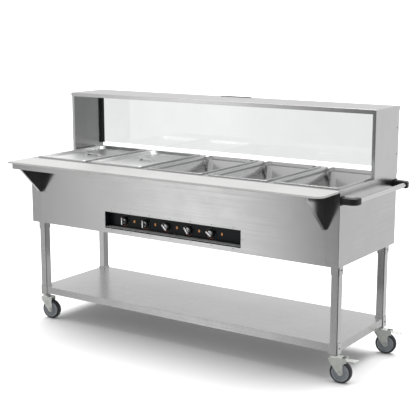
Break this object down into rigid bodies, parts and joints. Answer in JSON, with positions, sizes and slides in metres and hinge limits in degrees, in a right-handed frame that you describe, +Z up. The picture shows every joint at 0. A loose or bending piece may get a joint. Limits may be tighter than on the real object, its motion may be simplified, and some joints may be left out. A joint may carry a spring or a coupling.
{
  "type": "steam_table_unit",
  "caption": "Mobile electric steam table with lift-out food pans, cutting board on a front tray, glass sneeze guard, push handle, undershelf and swivel casters",
  "frame": {"origin": "Middle of the footprint on the floor, under the wheels", "axes": "+X along the table toward the push handle, +Y from the operator side toward the guest side, +Z up"},
  "size_m": [1.88, 0.784, 1.1998],
  "materials": {
    "stainless_panel": "satin",
    "pan_steel": "satin",
    "lid_steel": "satin",
    "element_sheath": "satin",
    "fastener_steel": "satin",
    "zinc_plate": "gloss",
    "pedal_steel": "satin",
    "chrome_tube": "gloss",
    "chrome_knob": "gloss",
    "dark_steel": "satin",
    "panel_black": "satin",
    "black_plastic": "matte",
    "hub_plastic": "matte",
    "tyre_rubber": "matte",
    "board_white": "matte",
    "clear_glass": "gloss",
    "lamp_amber": "gloss",
    "brass_fitting": "satin",
    "lever_red": "gloss"
  },
  "bodies": {
    "frame": {"top_sheet": "stainless_panel", "divider_bars": "stainless_panel", "front_panel": "stainless_panel", "end_panels": "stainless_panel", "rear_panel": "stainless_panel", "bottom_pan": "stainless_panel", "well_tanks": "stainless_panel", "heating_elements": "element_sheath", "drain_pipes": "stainless_panel", "drain_valve": "brass_fitting", "cord_gland": "black_plastic", "control_box": "panel_black", "dial_plates": "panel_black", "thermostats": "black_plastic", "indicator_lamps": "lamp_amber", "sheet_screws": "fastener_steel", "tray_shelf": "stainless_panel", "tray_brackets": "stainless_panel", "legs": "stainless_panel", "leg_sockets": "stainless_panel", "frame_bolts": "fastener_steel", "undershelf": "stainless_panel", "guard_ends": "stainless_panel", "guard_shelf": "stainless_panel", "guard_glass": "clear_glass", "glass_channels": "black_plastic", "glass_clip": "dark_steel", "handle_brackets": "black_plastic", "handle_tube": "chrome_tube", "caster_stems": "zinc_plate"},
    "board": {"cutting_board": "board_white"},
    "lever": {"drain_lever": "lever_red"},
    "knob_1": {"knob_1": "chrome_knob"},
    "knob_2": {"knob_2": "chrome_knob"},
    "knob_3": {"knob_3": "chrome_knob"},
    "knob_4": {"knob_4": "chrome_knob"},
    "knob_5": {"knob_5": "chrome_knob"},
    "fork_front_right": {"fork_front_right": "zinc_plate"},
    "wheel_front_right": {"wheel_hub_front_right": "hub_plastic", "tyre_front_right": "tyre_rubber"},
    "pedal_front_right": {"pedal_front_right": "pedal_steel"},
    "fork_rear_right": {"fork_rear_right": "zinc_plate"},
    "wheel_rear_right": {"wheel_hub_rear_right": "hub_plastic", "tyre_rear_right": "tyre_rubber"},
    "pedal_rear_right": {"pedal_rear_right": "pedal_steel"},
    "fork_front_left": {"fork_front_left": "zinc_plate"},
    "wheel_front_left": {"wheel_hub_front_left": "hub_plastic", "tyre_front_left": "tyre_rubber"},
    "fork_rear_left": {"fork_rear_left": "zinc_plate"},
    "wheel_rear_left": {"wheel_hub_rear_left": "hub_plastic", "tyre_rear_left": "tyre_rubber"},
    "pan_1": {"pan_1": "pan_steel"},
    "lid_1": {"lid_1": "lid_steel"},
    "pan_2": {"pan_2": "pan_steel"},
    "lid_2": {"lid_2": "lid_steel"},
    "pan_3": {"pan_3": "pan_steel"},
    "pan_4": {"pan_4": "pan_steel"},
    "pan_5": {"pan_5": "pan_steel"}
  },
  "joints": [
    {"name": "board_lift", "type": "slide", "parent": "frame", "child": "board", "axis": [0, 0, 1], "range_m": [0, 0.06]},
    {"name": "lever_turn", "type": "hinge", "parent": "frame", "child": "lever", "pos_m": [-0.796, 0.2297, 0.506], "axis": [0, 1, 0], "range_deg": [0, 90]},
    {"name": "knob_1_turn", "type": "hinge", "parent": "frame", "child": "knob_1", "pos_m": [-0.342, -0.186, 0.603], "axis": [0, 1, 0], "range_deg": [0, 270]},
    {"name": "knob_2_turn", "type": "hinge", "parent": "frame", "child": "knob_2", "pos_m": [-0.212, -0.186, 0.603], "axis": [0, 1, 0], "range_deg": [0, 270]},
    {"name": "knob_3_turn", "type": "hinge", "parent": "frame", "child": "knob_3", "pos_m": [-0.082, -0.186, 0.603], "axis": [0, 1, 0], "range_deg": [-130, 140]},
    {"name": "knob_4_turn", "type": "hinge", "parent": "frame", "child": "knob_4", "pos_m": [0.048, -0.186, 0.603], "axis": [0, 1, 0], "range_deg": [-140, 130]},
    {"name": "knob_5_turn", "type": "hinge", "parent": "frame", "child": "knob_5", "pos_m": [0.178, -0.186, 0.603], "axis": [0, 1, 0], "range_deg": [-120, 150]},
    {"name": "swivel_front_right", "type": "hinge", "parent": "frame", "child": "fork_front_right", "pos_m": [0.831, -0.161, 0.118], "axis": [0, 0, 1], "continuous": true},
    {"name": "roll_front_right", "type": "hinge", "parent": "fork_front_right", "child": "wheel_front_right", "pos_m": [0.86054, -0.15579, 0.051], "axis": [-0.1736, 0.9848, 0], "continuous": true},
    {"name": "brake_front_right", "type": "hinge", "parent": "fork_front_right", "child": "pedal_front_right", "pos_m": [0.88024, -0.15232, 0.107], "axis": [-0.1736, 0.9848, 0], "range_deg": [0, 16]},
    {"name": "swivel_rear_right", "type": "hinge", "parent": "frame", "child": "fork_rear_right", "pos_m": [0.831, 0.319, 0.118], "axis": [0, 0, 1], "continuous": true},
    {"name": "roll_rear_right", "type": "hinge", "parent": "fork_rear_right", "child": "wheel_rear_right", "pos_m": [0.86054, 0.32421, 0.051], "axis": [-0.1736, 0.9848, 0], "continuous": true},
    {"name": "brake_rear_right", "type": "hinge", "parent": "fork_rear_right", "child": "pedal_rear_right", "pos_m": [0.88024, 0.32768, 0.107], "axis": [-0.1736, 0.9848, 0], "range_deg": [0, 16]},
    {"name": "swivel_front_left", "type": "hinge", "parent": "frame", "child": "fork_front_left", "pos_m": [-0.903, -0.161, 0.118], "axis": [0, 0, 1], "continuous": true},
    {"name": "roll_front_left", "type": "hinge", "parent": "fork_front_left", "child": "wheel_front_left", "pos_m": [-0.87346, -0.15579, 0.051], "axis": [-0.1736, 0.9848, 0], "continuous": true},
    {"name": "swivel_rear_left", "type": "hinge", "parent": "frame", "child": "fork_rear_left", "pos_m": [-0.903, 0.319, 0.118], "axis": [0, 0, 1], "continuous": true},
    {"name": "roll_rear_left", "type": "hinge", "parent": "fork_rear_left", "child": "wheel_rear_left", "pos_m": [-0.87346, 0.32421, 0.051], "axis": [-0.1736, 0.9848, 0], "continuous": true},
    {"name": "pan_1_lift", "type": "slide", "parent": "frame", "child": "pan_1", "axis": [0, 0, 1], "range_m": [0, 0.17]},
    {"name": "lid_1_lift", "type": "slide", "parent": "pan_1", "child": "lid_1", "axis": [0, 0, 1], "range_m": [0, 0.06]},
    {"name": "pan_2_lift", "type": "slide", "parent": "frame", "child": "pan_2", "axis": [0, 0, 1], "range_m": [0, 0.17]},
    {"name": "lid_2_lift", "type": "slide", "parent": "pan_2", "child": "lid_2", "axis": [0, 0, 1], "range_m": [0, 0.06]},
    {"name": "pan_3_lift", "type": "slide", "parent": "frame", "child": "pan_3", "axis": [0, 0, 1], "range_m": [0, 0.17]},
    {"name": "pan_4_lift", "type": "slide", "parent": "frame", "child": "pan_4", "axis": [0, 0, 1], "range_m": [0, 0.17]},
    {"name": "pan_5_lift", "type": "slide", "parent": "frame", "child": "pan_5", "axis": [0, 0, 1], "range_m": [0, 0.17]}
  ]
}
